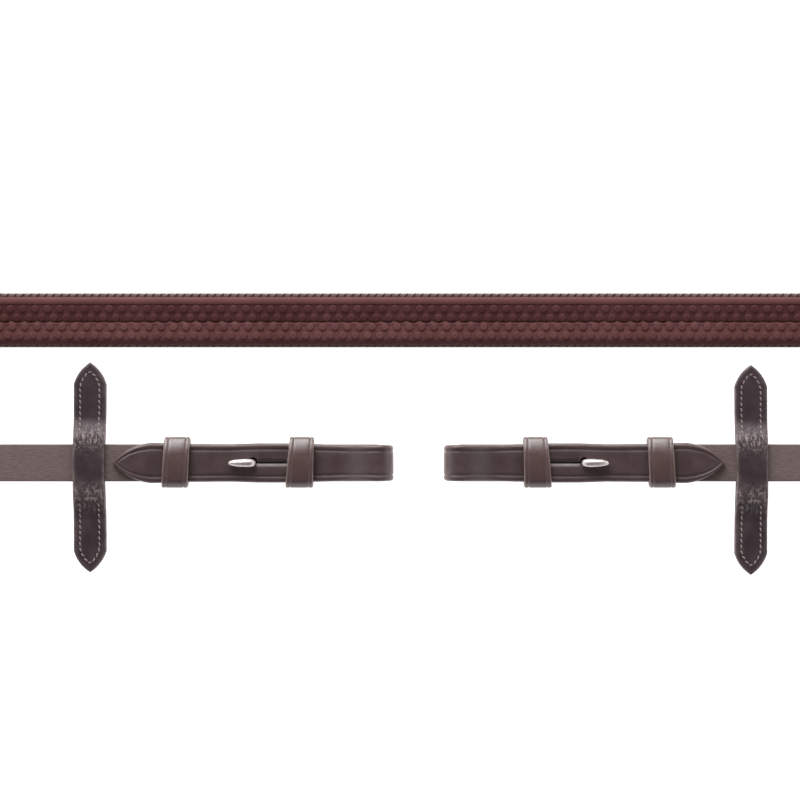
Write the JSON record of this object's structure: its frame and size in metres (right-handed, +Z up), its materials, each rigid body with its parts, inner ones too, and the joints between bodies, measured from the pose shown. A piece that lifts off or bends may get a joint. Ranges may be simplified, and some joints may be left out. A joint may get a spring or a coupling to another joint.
{
  "type": "leather reins",
  "caption": "Pair of flat leather riding reins with dimpled rubber hand grips, pointed rein stops, hook-stud bit ends and a centre buckle, laid in a loop.",
  "frame": {"origin": "on the underside of the left rein's straight grip run, level with the middle of the gap between the two bit folds", "axes": "+X along the grip run from the left billet's side to the right's, +Y from the billets towards the grip and the centre buckle, +Z up out of the surface the reins lie on"},
  "size_m": [0.7542, 0.3658, 0.0244],
  "materials": {
    "strap_leather": "finished dark brown grain side, brushed flesh side, light wear on the edges",
    "keeper_leather": "dark brown, creased along both edges, worn on the corners",
    "stop_leather": "very dark brown, satin, scuffed where it bends over the strap",
    "grip_leather": "dark brown smooth grain backing",
    "grip_rubber": "matte reddish brown, moulded with rows of small round pimples",
    "thread": "waxed brown thread",
    "polished_steel": "polished stainless steel"
  },
  "bodies": {
    "reins": {"left_rein_strap": "strap_leather", "right_rein_strap": "strap_leather", "left_grip_rubber": "grip_rubber", "left_grip_leather": "grip_leather", "left_grip_seam_stitching": "thread", "left_grip_edge_stitching": "thread", "right_grip_rubber": "grip_rubber", "right_grip_leather": "grip_leather", "right_grip_seam_stitching": "thread", "right_grip_edge_stitching": "thread", "chape_stitching": "thread", "buckle_keeper": "keeper_leather"},
    "buckle_frame": {"buckle_frame": "polished_steel"},
    "buckle_prong": {"buckle_prong": "polished_steel"},
    "buckle_runner": {"buckle_runner": "keeper_leather"},
    "left_loop": {"left_loop_strap": "strap_leather"},
    "left_billet": {"left_end_strap": "strap_leather", "left_hook_stud": "polished_steel", "left_hook_back_plate": "polished_steel"},
    "left_bit_keeper": {"left_bit_keeper": "keeper_leather"},
    "left_tip_keeper": {"left_tip_keeper": "keeper_leather"},
    "left_stop": {"left_stop_front": "stop_leather", "left_stop_back": "stop_leather", "left_stop_stitching": "thread"},
    "right_loop": {"right_loop_strap": "strap_leather"},
    "right_billet": {"right_end_strap": "strap_leather", "right_hook_stud": "polished_steel", "right_hook_back_plate": "polished_steel"},
    "right_bit_keeper": {"right_bit_keeper": "keeper_leather"},
    "right_tip_keeper": {"right_tip_keeper": "keeper_leather"},
    "right_stop": {"right_stop_front": "stop_leather", "right_stop_back": "stop_leather", "right_stop_stitching": "thread"}
  },
  "joints": [
    {"name": "left_swing", "type": "hinge", "parent": "reins", "child": "left_loop", "pos_m": [-0.33737, -0.03065, 0.01175], "axis": [0, 0, -1], "range_deg": [0, 60]},
    {"name": "left_lift", "type": "hinge", "parent": "left_loop", "child": "left_billet", "pos_m": [-0.2113, -0.0613, 0.004], "axis": [0, -1, 0], "range_deg": [0, 75]},
    {"name": "left_stop_slide", "type": "slide", "parent": "left_billet", "child": "left_stop", "axis": [-1, 0, 0], "range_m": [0, 0.0535]},
    {"name": "left_bit_keeper_slide", "type": "slide", "parent": "left_billet", "child": "left_bit_keeper", "axis": [-1, 0, 0], "range_m": [-0.009, 0.012]},
    {"name": "left_tip_keeper_slide", "type": "slide", "parent": "left_billet", "child": "left_tip_keeper", "axis": [-1, 0, 0], "range_m": [-0.016, 0.021]},
    {"name": "right_swing", "type": "hinge", "parent": "reins", "child": "right_loop", "pos_m": [0.35343, -0.02901, 0.01175], "axis": [0, 0, 1], "range_deg": [0, 60]},
    {"name": "right_lift", "type": "hinge", "parent": "right_loop", "child": "right_billet", "pos_m": [0.2113, -0.0613, 0.004], "axis": [0, 1, 0], "range_deg": [0, 75]},
    {"name": "right_stop_slide", "type": "slide", "parent": "right_billet", "child": "right_stop", "axis": [1, 0, 0], "range_m": [0, 0.0535]},
    {"name": "right_bit_keeper_slide", "type": "slide", "parent": "right_billet", "child": "right_bit_keeper", "axis": [1, 0, 0], "range_m": [-0.009, 0.012]},
    {"name": "right_tip_keeper_slide", "type": "slide", "parent": "right_billet", "child": "right_tip_keeper", "axis": [1, 0, 0], "range_m": [-0.016, 0.021]},
    {"name": "buckle_runner_slide", "type": "slide", "parent": "reins", "child": "buckle_runner", "axis": [-1, 0, 0], "range_m": [-0.045, 0.026]},
    {"name": "buckle_frame_turn", "type": "hinge", "parent": "reins", "child": "buckle_frame", "pos_m": [0.1481, 0.18, 0.01175], "axis": [0, 0, 1], "range_deg": [0, 18]},
    {"name": "buckle_prong_turn", "type": "hinge", "parent": "buckle_frame", "child": "buckle_prong", "pos_m": [0.1481, 0.18, 0.01175], "axis": [0, 0, 1], "range_deg": [0, 10]}
  ]
}
